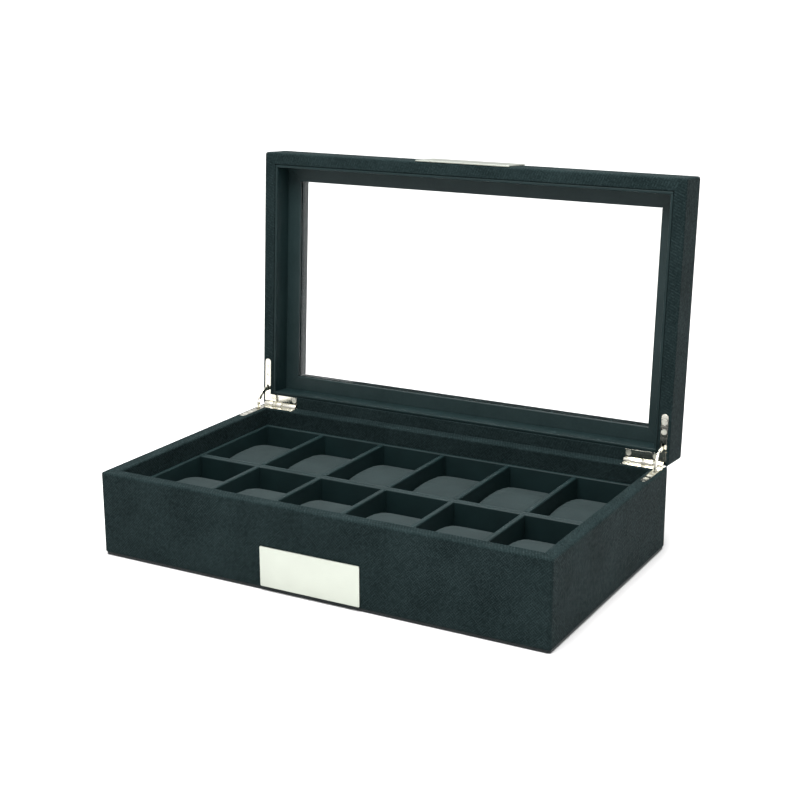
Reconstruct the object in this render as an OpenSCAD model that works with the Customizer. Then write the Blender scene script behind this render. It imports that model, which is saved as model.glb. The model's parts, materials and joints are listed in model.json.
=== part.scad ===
// Watch box: a wrapped wooden box with twelve compartments, each with a lift-out
// cushion, and a glazed lid on two quadrant hinges with sliding stays.
// Origin: centre of the underside. +X right, +Y back, +Z up. Drawn with the lid open.

/* [Box] */
// Overall width, left to right
box_w = 340; // [280:1:440]
// Overall depth of the base, front to back
box_d = 200; // [160:1:260]
// Height of the base, from the table to its rim
base_h = 60.5; // [50:0.5:90]
// Thickness of the base's walls
wall_t = 10; // [8.5:0.5:14]
// Radius of the upright outer corners
corner_r = 2; // [1:0.5:6]
// Rounding of the rim's long edges
rim_r = 1.5; // [0.5:0.25:2.5]
// Rounding of the two back edges that meet at the hinges
back_r = 0.5; // [0.3:0.1:1.5]
// Thickness of the pad under the base
pad_t = 2; // [1:0.5:4]
// Distance that the pad is set in from the walls
pad_inset = 0.6; // [0.2:0.1:4]
// Thickness of the bottom panel between the walls
bottom_t = 3; // [2:0.5:5]

/* [Compartments] */
// Thickness of the lining on the floor
floor_t = 1.5; // [1:0.5:3]
// Thickness of the boards that line the walls
liner_t = 3; // [1.5:0.5:4]
// Distance that liners and dividers stop short of the rim
tray_drop = 13.5; // [10:0.5:20]
// Thickness of the dividers between columns
divider_t = 4; // [2:0.5:6]
// Thickness of each of the two boards between the rows
row_board_t = 3; // [1.5:0.5:4]
// Gap between the two boards between the rows
row_board_gap = 0.2; // [0.1:0.1:1]
// Play of one board in another board's slot, each side
lap_play = 0.1; // [0.05:0.05:0.3]

/* [Cushions] */
// Distance that a cushion's top lies below the tops of the dividers
cushion_drop = 4.7; // [2:0.1:12]
// Gap between a cushion and the compartment at its two sides
cushion_side_gap = 1.2; // [0.5:0.1:4]
// Gap between a cushion and the compartment at its front and back
cushion_end_gap = 3; // [1:0.5:8]
// Width of the flat strip that a cushion stands on
cushion_foot = 44; // [30:1:50]
// Gap that keeps a cushion clear of the floor lining
cushion_clear = 0.3; // [0.2:0.1:1]

/* [Lid] */
// Height of the lid
lid_h = 29.5; // [24:0.5:45]
// Gap between the lid and the base when closed
lid_gap = 0.5; // [0.3:0.1:1]
// Angle that the lid stands open at
open_angle = 93.5; // [90:0.5:100]
// Thickness of the lid's side walls
rail_t = 9.2; // [9:0.1:12]
// Depth of the lid's inside, from its rim to the frame that holds the glass
lid_recess = 16.7; // [12:0.1:18]
// Width of the border around the window
border_w = 22.4; // [18:0.1:32]
// Rounding of the lid's upper outer edge
lid_edge_r = 3; // [1:0.25:3.5]
// Rounding of the window's outer edge
window_r = 1; // [0.5:0.25:2]
// Thickness of the glass
glass_t = 2; // [1.5:0.5:3]
// Thickness of the frame that holds the glass
retainer_t = 2; // [1:0.5:3]
// Thickness of the boards that line the lid
lid_liner_t = 2; // [1:0.5:3]
// Distance that the lid's linings stop short of the rim
lid_liner_drop = 0.3; // [0.1:0.1:2]
// Play around the glass, its frame and the lid's linings
lid_play = 0.2; // [0.1:0.1:0.5]

/* [Plates] */
// Width of the two metal plates
plate_w = 76; // [40:1:120]
// Thickness of the plates
plate_t = 1; // [0.5:0.1:2]
// Height of the plate on the base
plate_h = 28; // [15:0.5:45]
// Height of that plate's lower edge above the table
plate_z = 3; // [2.5:0.5:10]
// Distance that the lid's plate stops short of the lid's top
lid_plate_drop = 1.2; // [0.5:0.1:6]

/* [Hinges] */
// Thickness of the hinge leaves
leaf_t = 2; // [1.5:0.25:2.5]
// Width of a leaf's arm along the side wall
arm_w = 5; // [4.5:0.25:6]
// Distance from a side arm's farther screw to the arm's end
arm_end = 5.9; // [5:0.1:9]
// Length of a leaf's arm along the back wall
back_arm = 30; // [24:0.5:36]
// Wood left between the arm along the back wall and the wall's inner face
back_fence = 0.5; // [0.4:0.1:0.8]
// Gap between the two back edges when the lid is open
back_clear = 0.15; // [0.1:0.05:0.5]
// Radius of the knuckles
knuckle_r = 2.75; // [2.25:0.05:3.3]
// Radius of the hinge pin
pin_r = 1.2; // [0.8:0.1:1.5]
// Running clearance around the pin
pin_play = 0.05; // [0.02:0.01:0.1]
// Clearance around the barrel and between knuckles
barrel_gap = 0.3; // [0.2:0.05:0.5]
// Length of the knuckle nearest the box's middle
inner_knuckle = 13; // [8:0.5:13]
// Length of the lid's knuckle
lid_knuckle = 8; // [6:0.5:11]
// Radius of the stay's arc
stay_r = 13; // [12:0.1:18]
// Width of the stay
stay_w = 2.8; // [2:0.1:3]
// Thickness of the stay
stay_t = 1.2; // [0.8:0.1:1.5]
// Radius of the stop pegs at the stay's ends
peg_r = 1.3; // [1:0.1:1.4]
// Length of the stop pegs
peg_l = 3.4; // [3:0.1:3.8]
// Clearance of the stay in its slots
stay_gap = 0.35; // [0.3:0.05:0.5]
// Clearance between the inner edge of the stay and its slot, at the underside of the leaf
slot_clear = 0.13; // [0.1:0.01:0.3]
// Length of the slot that the stay slides in
slot_l = 4.5; // [4:0.5:7.5]

/* [Screws] */
// Radius of the screw heads
head_r = 2; // [1.6:0.1:2.2]
// Radius of the screws' shanks
shank_r = 0.9; // [0.7:0.1:1.1]
// Length of the screws
screw_l = 9; // [6:0.5:12]
// Play around the screws
screw_play = 0.05; // [0.02:0.01:0.1]
// Gap between the stay's slot and the head of the nearer screw of a side arm
screw_gap = 6.35; // [0.25:0.05:9]
// Distance between the two screws of a side arm
screw_pitch = 6.9; // [6:0.1:9]

/* [Hidden] */

columns = 6;
leather = [0.17, 0.21, 0.21];
lining = [0.12, 0.16, 0.16];
felt = [0.10, 0.12, 0.12];
cushion_cloth = [0.27, 0.31, 0.32];
metal = [0.86, 0.86, 0.83];
glass_tint = [0.85, 0.92, 0.92, 0.3];

round_fn = 48;
hole_fn = 32;
over = 1; // how far a cut runs past what it cuts

half_w = box_w / 2;
half_d = box_d / 2;
in_w = box_w - 2 * wall_t;
in_d = box_d - 2 * wall_t;
floor_z = pad_t + bottom_t + floor_t;
tray_z = base_h - tray_drop;
lap_z = (floor_z + tray_z) / 2;
cushion_z = floor_z + cushion_clear;
cushion_h = tray_z - cushion_drop - cushion_z;

tray_w = in_w - 2 * liner_t;
tray_d = in_d - 2 * liner_t;
cell_w = (tray_w - (columns - 1) * divider_t) / columns;
column_pitch = cell_w + divider_t;
row_half = row_board_gap / 2 + row_board_t;
cell_d = tray_d / 2 - row_half;

// the hinge axis lies so far inside the back face that the rounded edges just clear
hinge_inset = back_r - (back_r + back_clear / 2
    - (back_r + lid_gap / 2) * cos(open_angle / 2)) / sin(open_angle / 2);
hinge_y = half_d - hinge_inset;
hinge_z = base_h + lid_gap / 2;
lid_z = base_h + lid_gap;
lid_top = lid_z + lid_h;
retainer_z = lid_z + lid_recess;
glass_z = retainer_z + retainer_t;
lip_t = lid_top - glass_z - glass_t; // the lip lies on the glass
lid_in_w = box_w - 2 * rail_t;
lid_in_d = box_d - 2 * rail_t;

hinge_x = half_w - min(wall_t, rail_t) / 2; // centre line of the side arms
stay_depth = leaf_t + hinge_z - base_h; // from the hinge axis down to the underside of the leaf
stay_inside = sqrt(pow(stay_r - stay_w / 2, 2) - pow(stay_depth, 2)); // inner edge of the stay at that depth
slot_near = stay_inside - slot_clear; // from the hinge axis to the stay's slot
near_screw = slot_near + slot_l + screw_gap + head_r;
side_arm = near_screw + screw_pitch + arm_end;
barrel_x = hinge_x + arm_w / 2 - back_arm; // inner end of the barrel
barrel_end = hinge_x + arm_w / 2 - 1;
arm_gap = knuckle_r + barrel_gap; // from the hinge axis to the back arm
back_arm_w = min(wall_t, rail_t) - hinge_inset - arm_gap - back_fence;
back_screw_y = hinge_y - arm_gap - back_arm_w / 2;
inner_screw_x = barrel_x + head_r + 0.6;
outer_screw_x = hinge_x - arm_w / 2 - head_r - stay_gap;
head_l = 1.5;

// the pegs lie just under the leaves when the lid is open
peg_stop_gap = 0.2;
peg_depth = lid_gap / 2 + leaf_t + peg_r + peg_stop_gap;
peg_angle = asin(peg_depth / stay_r);
stay_sweep = open_angle + 2 * peg_angle;
pocket_back = stay_r * cos(stay_sweep / 2) - peg_r - stay_gap;

// ---------- helpers ----------

// A block given by its low and high corners
module block(low, high) {
    translate(low) cube(high - low);
}

// Turns what is drawn with the lid closed to the open lid
module opened() {
    translate([0, hinge_y, hinge_z])
        rotate([-open_angle, 0, 0])
            translate([0, -hinge_y, -hinge_z])
                children();
}

// Draws the right-hand hinge part as it is, or mirrored for the left
module handed(left) {
    mirror([left ? 1 : 0, 0, 0]) children();
}

// What to take off a square edge at the corner [0, 0], to round it by r
module edge_waste(r) {
    difference() {
        translate([-over, -over]) square(r + over);
        translate([r, r]) circle(r, $fn = round_fn);
    }
}

// Cross-section of a base wall: x from its outer face inwards, y up. outer_r rounds
// the rim's outer edge.
module wall_section(outer_r) {
    height = base_h - pad_t;
    difference() {
        square([wall_t, height]);
        edge_waste(rim_r);
        translate([0, height]) mirror([0, 1]) edge_waste(outer_r);
        translate([wall_t, height]) rotate(180) edge_waste(rim_r);
    }
}

// Cross-section of a lid rail: the wall, and the lip that carries the glass. outer_r
// rounds the rim's outer edge.
module rail_section(outer_r) {
    difference() {
        union() {
            square([rail_t, lid_h]);
            translate([0, lid_h - lip_t]) square([border_w, lip_t]);
        }
        edge_waste(outer_r);
        translate([0, lid_h]) mirror([0, 1]) edge_waste(lid_edge_r);
        translate([rail_t, 0]) mirror([1, 0]) edge_waste(rim_r / 2);
        translate([border_w, lid_h]) rotate(180) edge_waste(window_r);
    }
}

// Runs a cross-section along the front, then mitres it and rounds its corners.
// The box is span_w wide and span_d deep; the section is reach wide.
module mitred(span_w, span_d, reach, z, height) {
    difference() {
        intersection() {
            translate([-span_w / 2, -span_d / 2, z])
                rotate([90, 0, 90])
                    linear_extrude(span_w) children();
            translate([0, 0, z - over])
                linear_extrude(height + 2 * over)
                    polygon([
                        [-span_w / 2, -span_d / 2], [span_w / 2, -span_d / 2],
                        [span_w / 2 - reach, reach - span_d / 2],
                        [reach - span_w / 2, reach - span_d / 2]
                    ]);
        }
        for (side = [-1, 1])
            translate([side * span_w / 2, -span_d / 2, z - over])
                mirror([side > 0 ? 1 : 0, 0, 0])
                    linear_extrude(height + 2 * over) edge_waste(corner_r);
    }
}

// A block with rounded upright edges
module rounded_block(w, d, z, h, r) {
    translate([-w / 2 + r, -d / 2, z]) cube([w - 2 * r, d, h]);
    translate([-w / 2, -d / 2 + r, z]) cube([w, d - 2 * r, h]);
    for (x = [-1, 1], y = [-1, 1])
        translate([x * (w / 2 - r), y * (d / 2 - r), z])
            cylinder(r = r, h = h, $fn = round_fn);
}

// A bar of round section along X
module x_rod(x0, x1, r, fn) {
    translate([x0, 0, 0]) rotate([0, 90, 0]) cylinder(r = r, h = x1 - x0, $fn = fn);
}

// ---------- hinges: drawn on the base's right side, with the lid's as their mirror ----------

// Mirrors what is drawn for the base into the closed lid
module for_lid() {
    translate([0, 0, 2 * hinge_z]) mirror([0, 0, 1]) children();
}

// Outline of a leaf, grown by play and reaching from z0 to z1
module leaf_plate(play, z0, z1) {
    end_y = hinge_y - side_arm + arm_w / 2;
    back_y = hinge_y - arm_gap;
    block([hinge_x - arm_w / 2 - play, end_y, z0],
          [hinge_x + arm_w / 2 + play, back_y + play, z1]);
    translate([hinge_x, end_y, z0])
        cylinder(r = arm_w / 2 + play, h = z1 - z0, $fn = round_fn);
    block([barrel_x - play, back_y - back_arm_w - play, z0],
          [hinge_x + arm_w / 2 + play, back_y + play, z1]);
}

// A knuckle with the web that joins it to the leaf
module knuckle(x0, x1) {
    web_lap = 0.2; // how far the web reaches into the plate
    block([x0, hinge_y - arm_gap - web_lap, base_h - leaf_t], [x1, hinge_y, base_h]);
    translate([0, hinge_y, hinge_z]) x_rod(x0, x1, knuckle_r, round_fn);
}

// Where the screws of one leaf go
function screw_places() = [
    [hinge_x, hinge_y - near_screw],
    [hinge_x, hinge_y - near_screw - screw_pitch],
    [inner_screw_x, back_screw_y],
    [outer_screw_x, back_screw_y]
];

// One countersunk screw, head up, its top at z = 0, grown by play
module screw_body(play) {
    translate([0, 0, -head_l])
        cylinder(r1 = shank_r + play, r2 = head_r + play, h = head_l, $fn = hole_fn);
    translate([0, 0, -screw_l - play])
        cylinder(r = shank_r + play, h = screw_l + play, $fn = hole_fn);
}

// A screw with its cross recess
module screw() {
    recess_w = 0.5;
    recess_l = 2.2;
    recess_d = 0.8;
    difference() {
        screw_body(0);
        for (a = [0, 90])
            rotate(a) block([-recess_l / 2, -recess_w / 2, -recess_d],
                            [recess_l / 2, recess_w / 2, over]);
    }
}

// The screws of one leaf
module leaf_screws() {
    for (p = screw_places())
        translate([p[0], p[1], base_h]) rotate(20) screw();
}

// Leaf plate, cut for the stay and the screws
module cut_plate() {
    slot_w = stay_t + 2 * stay_gap;
    slot_y = hinge_y - slot_near;
    difference() {
        leaf_plate(0, base_h - leaf_t, base_h);
        block([hinge_x - slot_w / 2, slot_y - slot_l, base_h - leaf_t - over],
              [hinge_x + slot_w / 2, slot_y, base_h + over]);
        for (p = screw_places())
            translate([p[0], p[1], base_h]) {
                screw_body(screw_play);
                cylinder(r = head_r + screw_play, h = over, $fn = hole_fn);
            }
    }
}

// The bore for the pin, through all the knuckles
module pin_bore() {
    translate([0, hinge_y, hinge_z])
        x_rod(barrel_x - over, barrel_end + over, pin_r + pin_play, hole_fn);
}

// Base leaf: plate and the two outer knuckles
module base_leaf() {
    difference() {
        union() {
            cut_plate();
            knuckle(barrel_x, barrel_x + inner_knuckle);
            knuckle(barrel_x + inner_knuckle + lid_knuckle + 2 * barrel_gap, barrel_end);
        }
        pin_bore();
    }
}

// Lid leaf, drawn as if it were on the base: plate and the middle knuckle
module lid_leaf() {
    difference() {
        union() {
            cut_plate();
            knuckle(barrel_x + inner_knuckle + barrel_gap,
                    barrel_x + inner_knuckle + barrel_gap + lid_knuckle);
        }
        pin_bore();
    }
}

// All that the hinge takes out of the wood on one side of the box
module hinge_cuts() {
    leaf_play = 0.1;
    groove_r = knuckle_r + barrel_gap;
    pocket_w = peg_l + 2 * stay_gap;
    outer_r = stay_r + stay_w / 2 + stay_gap;
    inner_r = slot_near;
    leaf_plate(leaf_play, base_h - leaf_t - leaf_play, base_h + over);
    translate([0, hinge_y, hinge_z])
        x_rod(barrel_x - barrel_gap, barrel_end + barrel_gap, groove_r, round_fn);
    // room for the knuckles' webs
    block([barrel_x - barrel_gap, hinge_y - arm_gap - over, base_h - leaf_t - leaf_play],
          [barrel_end + barrel_gap, half_d + over, base_h + over]);
    // pocket that the stay slides into
    intersection() {
        translate([0, hinge_y, hinge_z]) difference() {
            x_rod(hinge_x - pocket_w / 2, hinge_x + pocket_w / 2, outer_r, round_fn);
            x_rod(hinge_x - pocket_w, hinge_x + pocket_w, inner_r, round_fn);
        }
        block([hinge_x - pocket_w, hinge_y - outer_r - over, hinge_z - outer_r - over],
              [hinge_x + pocket_w, hinge_y - pocket_back, base_h - leaf_t + over]);
    }
    for (p = screw_places())
        translate([p[0], p[1], base_h]) screw_body(screw_play);
}

// Hinge cuts on both sides of the box
module both_hinge_cuts() {
    handed(false) hinge_cuts();
    handed(true) hinge_cuts();
}

// The stay: an arc about the hinge axis with a stop peg at each end
module stay() {
    start = -peg_angle;
    color(metal) translate([0, hinge_y, hinge_z]) {
        intersection() {
            difference() {
                x_rod(hinge_x - stay_t / 2, hinge_x + stay_t / 2,
                      stay_r + stay_w / 2, round_fn);
                x_rod(hinge_x - stay_t, hinge_x + stay_t, stay_r - stay_w / 2, round_fn);
            }
            // the wedge between the two pegs, seen along X
            translate([hinge_x - stay_t, 0, 0]) rotate([90, 0, 90])
                linear_extrude(2 * stay_t)
                    polygon([
                        [0, 0],
                        for (a = [start : stay_sweep / 4 : start + stay_sweep + 0.01])
                            [-2 * stay_r * cos(a), 2 * stay_r * sin(a)]
                    ]);
        }
        for (a = [start, start + stay_sweep])
            translate([0, -stay_r * cos(a), stay_r * sin(a)])
                x_rod(hinge_x - peg_l / 2, hinge_x + peg_l / 2, peg_r, hole_fn);
    }
}

// ---------- base ----------

module base_front_wall() {
    color(leather) mitred(box_w, box_d, wall_t, pad_t, base_h - pad_t) wall_section(rim_r);
}

module base_back_wall() {
    color(leather) difference() {
        rotate(180) mitred(box_w, box_d, wall_t, pad_t, base_h - pad_t) wall_section(back_r);
        both_hinge_cuts();
    }
}

module base_side_wall(left) {
    color(leather) difference() {
        rotate(left ? -90 : 90)
            mitred(box_d, box_w, wall_t, pad_t, base_h - pad_t) wall_section(rim_r);
        handed(left) hinge_cuts();
    }
}

module base_left_wall() { base_side_wall(true); }

module base_right_wall() { base_side_wall(false); }

module bottom_panel() {
    color(lining) block([-in_w / 2, -in_d / 2, pad_t], [in_w / 2, in_d / 2, pad_t + bottom_t]);
}

module base_pad() {
    color(felt) rounded_block(box_w - 2 * pad_inset, box_d - 2 * pad_inset, 0, pad_t, corner_r);
}

module floor_lining() {
    color(lining)
        block([-in_w / 2, -in_d / 2, pad_t + bottom_t], [in_w / 2, in_d / 2, floor_z]);
}

// side is -1 for the front or left, 1 for the back or right
module long_liner(side) {
    color(lining) translate([0, side * (in_d - liner_t) / 2, 0])
        block([-in_w / 2, -liner_t / 2, floor_z], [in_w / 2, liner_t / 2, tray_z]);
}

module short_liner(side) {
    color(lining) translate([side * (in_w - liner_t) / 2, 0, 0])
        block([-liner_t / 2, -tray_d / 2, floor_z], [liner_t / 2, tray_d / 2, tray_z]);
}

module liner_front() { long_liner(-1); }

module liner_back() { long_liner(1); }

module liner_left() { short_liner(-1); }

module liner_right() { short_liner(1); }

// Middle of column i, where column 1 is the leftmost
function column_x(i) = (i - (columns + 1) / 2) * column_pitch;

// A board between the rows, slotted from below for the column dividers
module row_board(side) {
    color(lining) difference() {
        translate([0, side * (row_board_gap + row_board_t) / 2, 0])
            block([-tray_w / 2, -row_board_t / 2, floor_z],
                  [tray_w / 2, row_board_t / 2, tray_z]);
        for (i = [1 : columns - 1])
            translate([column_x(i) + column_pitch / 2, 0, 0])
                block([-divider_t / 2 - lap_play, -box_d, floor_z - over],
                      [divider_t / 2 + lap_play, box_d, lap_z + lap_play]);
    }
}

module row_divider_front() { row_board(-1); }

module row_divider_back() { row_board(1); }

// The divider to the right of column i, slotted from above for the row boards
module column_divider(i) {
    color(lining) translate([column_x(i) + column_pitch / 2, 0, 0]) difference() {
        block([-divider_t / 2, -tray_d / 2, floor_z], [divider_t / 2, tray_d / 2, tray_z]);
        block([-divider_t, -row_half - lap_play, lap_z],
              [divider_t, row_half + lap_play, tray_z + over]);
    }
}

module base_plate() {
    color(metal) block([-plate_w / 2, -half_d - plate_t, plate_z],
                       [plate_w / 2, -half_d, plate_z + plate_h]);
}

module base_leaf_left() { color(metal) handed(true) base_leaf(); }

module base_leaf_right() { color(metal) handed(false) base_leaf(); }

module hinge_pin() {
    color(metal) translate([0, hinge_y, hinge_z]) x_rod(barrel_x, barrel_end, pin_r, hole_fn);
}

module hinge_pin_left() { handed(true) hinge_pin(); }

module hinge_pin_right() { handed(false) hinge_pin(); }

module base_hinge_screws() {
    color(metal) {
        handed(false) leaf_screws();
        handed(true) leaf_screws();
    }
}

// ---------- cushions ----------

// Cross-section, seen from the side: an oval, with straight flanks from where the
// tangents from the foot's two corners meet it
module cushion_section(depth) {
    steps = 28;
    rise = cushion_h / 2;
    foot = cushion_foot / 2;
    foot_angle = 90 - 2 * atan(foot / (depth / 2));
    polygon([
        [-foot, -rise], [foot, -rise],
        for (k = [0 : steps]) let (a = -foot_angle + (180 + 2 * foot_angle) * k / steps)
            [depth / 2 * cos(a), rise * sin(a)]
    ]);
}

// Cushions 1 to 6 are the back row, 7 to 12 the front row, left to right
module cushion(i) {
    row = i > columns ? -1 : 1;
    column = i > columns ? i - columns : i;
    width = cell_w - 2 * cushion_side_gap;
    color(cushion_cloth)
        translate([column_x(column) - width / 2, row * (row_half + cell_d / 2),
                   cushion_z + cushion_h / 2])
            rotate([90, 0, 90])
                linear_extrude(width) cushion_section(cell_d - 2 * cushion_end_gap);
}

// ---------- lid, drawn closed and then opened ----------

module lid_front_rail() {
    color(leather) opened()
        mitred(box_w, box_d, border_w, lid_z, lid_h) rail_section(rim_r);
}

module lid_back_rail() {
    color(leather) opened() difference() {
        rotate(180) mitred(box_w, box_d, border_w, lid_z, lid_h) rail_section(back_r);
        for_lid() both_hinge_cuts();
    }
}

module lid_side_rail(left) {
    color(leather) opened() difference() {
        rotate(left ? -90 : 90) mitred(box_d, box_w, border_w, lid_z, lid_h) rail_section(rim_r);
        for_lid() handed(left) hinge_cuts();
    }
}

module lid_left_rail() { lid_side_rail(true); }

module lid_right_rail() { lid_side_rail(false); }

module glass_pane() {
    color(glass_tint) opened()
        block([lid_play - lid_in_w / 2, lid_play - lid_in_d / 2, glass_z],
              [lid_in_w / 2 - lid_play, lid_in_d / 2 - lid_play, glass_z + glass_t]);
}

module glass_retainer() {
    color(lining) opened() difference() {
        block([lid_play - lid_in_w / 2, lid_play - lid_in_d / 2, retainer_z],
              [lid_in_w / 2 - lid_play, lid_in_d / 2 - lid_play, glass_z]);
        block([border_w - half_w, border_w - half_d, retainer_z - over],
              [half_w - border_w, half_d - border_w, glass_z + over]);
    }
}

module lid_long_liner(side) {
    color(lining) opened() translate([0, side * (lid_in_d / 2 - lid_play - lid_liner_t / 2), 0])
        block([lid_play - lid_in_w / 2, -lid_liner_t / 2, lid_z + lid_liner_drop],
              [lid_in_w / 2 - lid_play, lid_liner_t / 2, retainer_z]);
}

module lid_short_liner(side) {
    reach = lid_in_d / 2 - lid_play - lid_liner_t;
    color(lining) opened() translate([side * (lid_in_w / 2 - lid_play - lid_liner_t / 2), 0, 0])
        block([-lid_liner_t / 2, -reach, lid_z + lid_liner_drop],
              [lid_liner_t / 2, reach, retainer_z]);
}

module lid_liner_front() { lid_long_liner(-1); }

module lid_liner_back() { lid_long_liner(1); }

module lid_liner_left() { lid_short_liner(-1); }

module lid_liner_right() { lid_short_liner(1); }

module lid_plate() {
    color(metal) opened() block([-plate_w / 2, -half_d - plate_t, lid_z],
                                [plate_w / 2, -half_d, lid_top - lid_plate_drop]);
}

module lid_leaf_left() { color(metal) opened() for_lid() handed(true) lid_leaf(); }

module lid_leaf_right() { color(metal) opened() for_lid() handed(false) lid_leaf(); }

module lid_hinge_screws() {
    color(metal) opened() for_lid() {
        handed(false) leaf_screws();
        handed(true) leaf_screws();
    }
}

module stay_left() { handed(true) stay(); }

module stay_right() { handed(false) stay(); }

base_front_wall();
base_back_wall();
base_left_wall();
base_right_wall();
bottom_panel();
base_pad();
floor_lining();
liner_front();
liner_back();
liner_left();
liner_right();
row_divider_front();
row_divider_back();
column_divider(1);  // column_divider_1
column_divider(2);  // column_divider_2
column_divider(3);  // column_divider_3
column_divider(4);  // column_divider_4
column_divider(5);  // column_divider_5
base_plate();
base_leaf_left();
base_leaf_right();
hinge_pin_left();
hinge_pin_right();
base_hinge_screws();
lid_front_rail();
lid_back_rail();
lid_left_rail();
lid_right_rail();
glass_pane();
glass_retainer();
lid_liner_front();
lid_liner_back();
lid_liner_left();
lid_liner_right();
lid_plate();
lid_leaf_left();
lid_leaf_right();
lid_hinge_screws();
stay_left();
stay_right();
cushion(1);  // cushion_1
cushion(2);  // cushion_2
cushion(3);  // cushion_3
cushion(4);  // cushion_4
cushion(5);  // cushion_5
cushion(6);  // cushion_6
cushion(7);  // cushion_7
cushion(8);  // cushion_8
cushion(9);  // cushion_9
cushion(10);  // cushion_10
cushion(11);  // cushion_11
cushion(12);  // cushion_12
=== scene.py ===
# %% [markdown]
# # A wrapped watch box
# The box is a carcass of fibreboard wrapped in cross-grained leatherette, with lined compartments, twelve
# soft cushions and a glazed lid on two quadrant hinges. The frame that is loaded here holds every rigid
# part at its real size. What follows gives those parts their finish, and replaces the ones whose real
# surface is softer or rounder than a machined solid.

# %% Load the fixed frame
import json
import math

import bmesh
import bpy
import numpy as np
from mathutils import Matrix, Vector


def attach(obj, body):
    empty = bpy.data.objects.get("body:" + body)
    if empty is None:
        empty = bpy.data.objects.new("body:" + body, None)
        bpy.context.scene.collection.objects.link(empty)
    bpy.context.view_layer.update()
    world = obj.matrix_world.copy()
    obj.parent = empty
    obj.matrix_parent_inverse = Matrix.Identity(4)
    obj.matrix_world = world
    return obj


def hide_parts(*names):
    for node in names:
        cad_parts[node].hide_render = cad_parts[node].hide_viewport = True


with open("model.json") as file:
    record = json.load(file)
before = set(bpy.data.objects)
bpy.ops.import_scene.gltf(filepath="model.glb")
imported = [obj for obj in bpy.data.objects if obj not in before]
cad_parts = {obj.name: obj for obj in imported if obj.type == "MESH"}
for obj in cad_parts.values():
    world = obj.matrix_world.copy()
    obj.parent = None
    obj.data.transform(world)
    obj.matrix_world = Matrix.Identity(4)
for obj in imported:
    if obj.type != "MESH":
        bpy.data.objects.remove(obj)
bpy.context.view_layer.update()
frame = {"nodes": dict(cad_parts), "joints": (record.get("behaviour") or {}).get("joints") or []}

MM = 0.001


# %% [markdown]
# ## Reading the lid in its closed position
# The lid stands open, so its boxes are tilted. It is far easier to shape a lid that lies flat, so the
# pieces of the lid are made closed and then turned about the hinge. The hinge's axis and the angle both
# come from the frame's joint, so lid and hinge can never disagree.

# %% Turn points between the closed and the open lid
lid_joint = next(j for j in frame["joints"] if j["name"] == "lid_hinge")
hinge_point = np.array(lid_joint["pos_m"])
open_angle = math.radians(-lid_joint["range_deg"][0])


def turned(points, angle):
    """Turns points about the hinge: y' = y cos a + z sin a and z' = z cos a - y sin a, from the axis."""
    p = np.asarray(points, float) - hinge_point
    c = math.cos(angle)
    s = math.sin(angle)
    q = np.stack([p[..., 0], p[..., 1] * c + p[..., 2] * s, p[..., 2] * c - p[..., 1] * s], -1)
    return q + hinge_point


def points_of(mesh):
    """A mesh's points as an array."""
    flat = np.empty(len(mesh.vertices) * 3, np.float32)
    mesh.vertices.foreach_get("co", flat)
    return flat.reshape(-1, 3).astype(float)


def place_points(mesh, points):
    """Puts an array of points back into a mesh."""
    mesh.vertices.foreach_set("co", points.astype(np.float32).ravel())
    mesh.update()


def node_points(node):
    """All the points of a CAD node, as one array."""
    return points_of(frame["nodes"][node].data)


def closed_box(node):
    """Lowest and highest corner of a lid node, measured with the lid closed."""
    p = turned(node_points(node), -open_angle)
    return p.min(0), p.max(0)


def base_box(node):
    """Lowest and highest corner of a node that isn't tilted."""
    p = node_points(node)
    return p.min(0), p.max(0)


print("lid opens by", round(math.degrees(open_angle), 1), "degrees")


# %% [markdown]
# ## From arrays to meshes
# A surface is worked out as a grid of points. Rows of the grid run along the piece, columns run round its
# cross-section. Each quad joins four neighbours, and a closed section joins its last column to its first.
# The grid's own lengths, in millimetres, become a UV map, so a grain pattern keeps its real size and
# follows the wrap round every edge as glued leatherette does.

# %% Grid to mesh
WRAP_UV = "wrap_mm"
SHARP_ANGLE = math.radians(40)


def lengths(points):
    """Distance from the first point along the grid's first direction, summed step by step."""
    steps = np.linalg.norm(np.diff(points, axis=0), axis=-1)
    return np.concatenate([np.zeros((1,) + steps.shape[1:]), np.cumsum(steps, 0)])


def grid_quads(rows, columns, ring=False):
    """Corner numbers of each quad. The section is closed, and with ring so is the length."""
    r = np.arange(rows if ring else rows - 1)[:, None]
    c = np.arange(columns)[None, :]
    r1 = (r + 1) % rows
    c1 = (c + 1) % columns
    quads = [r * columns + c, r * columns + c1, r1 * columns + c1, r1 * columns + c]
    return np.stack(quads, -1).reshape(-1, 4)


def tidy_normals(mesh):
    """Points faces outwards and shades them smooth, except across edges sharper than SHARP_ANGLE."""
    work = bmesh.new()
    work.from_mesh(mesh)
    bmesh.ops.recalc_face_normals(work, faces=work.faces)
    work.to_mesh(mesh)
    work.free()
    mesh.shade_smooth()
    mesh.set_sharp_from_angle(angle=SHARP_ANGLE)


def new_piece(name, points, faces):
    """Puts points and faces into a mesh whose object stands at the origin."""
    mesh = bpy.data.meshes.new(name)
    mesh.from_pydata(np.asarray(points).tolist(), [], faces)
    mesh.validate()
    piece = bpy.data.objects.new(name, mesh)
    bpy.context.scene.collection.objects.link(piece)
    return piece


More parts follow.
